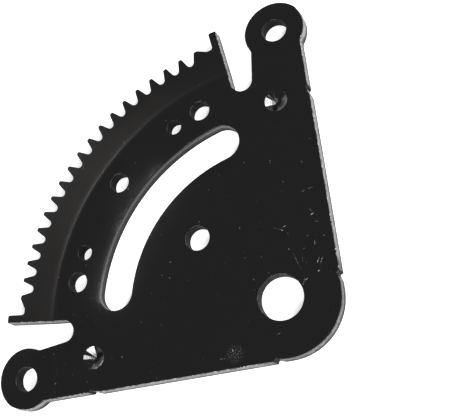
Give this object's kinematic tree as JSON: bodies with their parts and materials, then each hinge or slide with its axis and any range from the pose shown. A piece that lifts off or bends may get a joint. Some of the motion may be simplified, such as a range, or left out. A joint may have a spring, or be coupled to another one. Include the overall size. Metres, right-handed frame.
{
  "type": "sector gear",
  "caption": "Flat steel sector gear: toothed rim bent slightly up between end stops, arc slot, corner pivot bore and an eared arm at each side, in black paint.",
  "frame": {"origin": "on the axis of the pivot bore, at the back face that the plate lies on", "axes": "+Z out of the front face, along the pivot bore; +Y along the axis of symmetry towards the teeth; +X across, towards the right ear"},
  "size_m": [0.2574, 0.1744, 0.0099],
  "materials": {
    "black_paint": "satin black paint"
  },
  "bodies": {
    "root": {"sector_gear": "black_paint"}
  },
  "joints": []
}
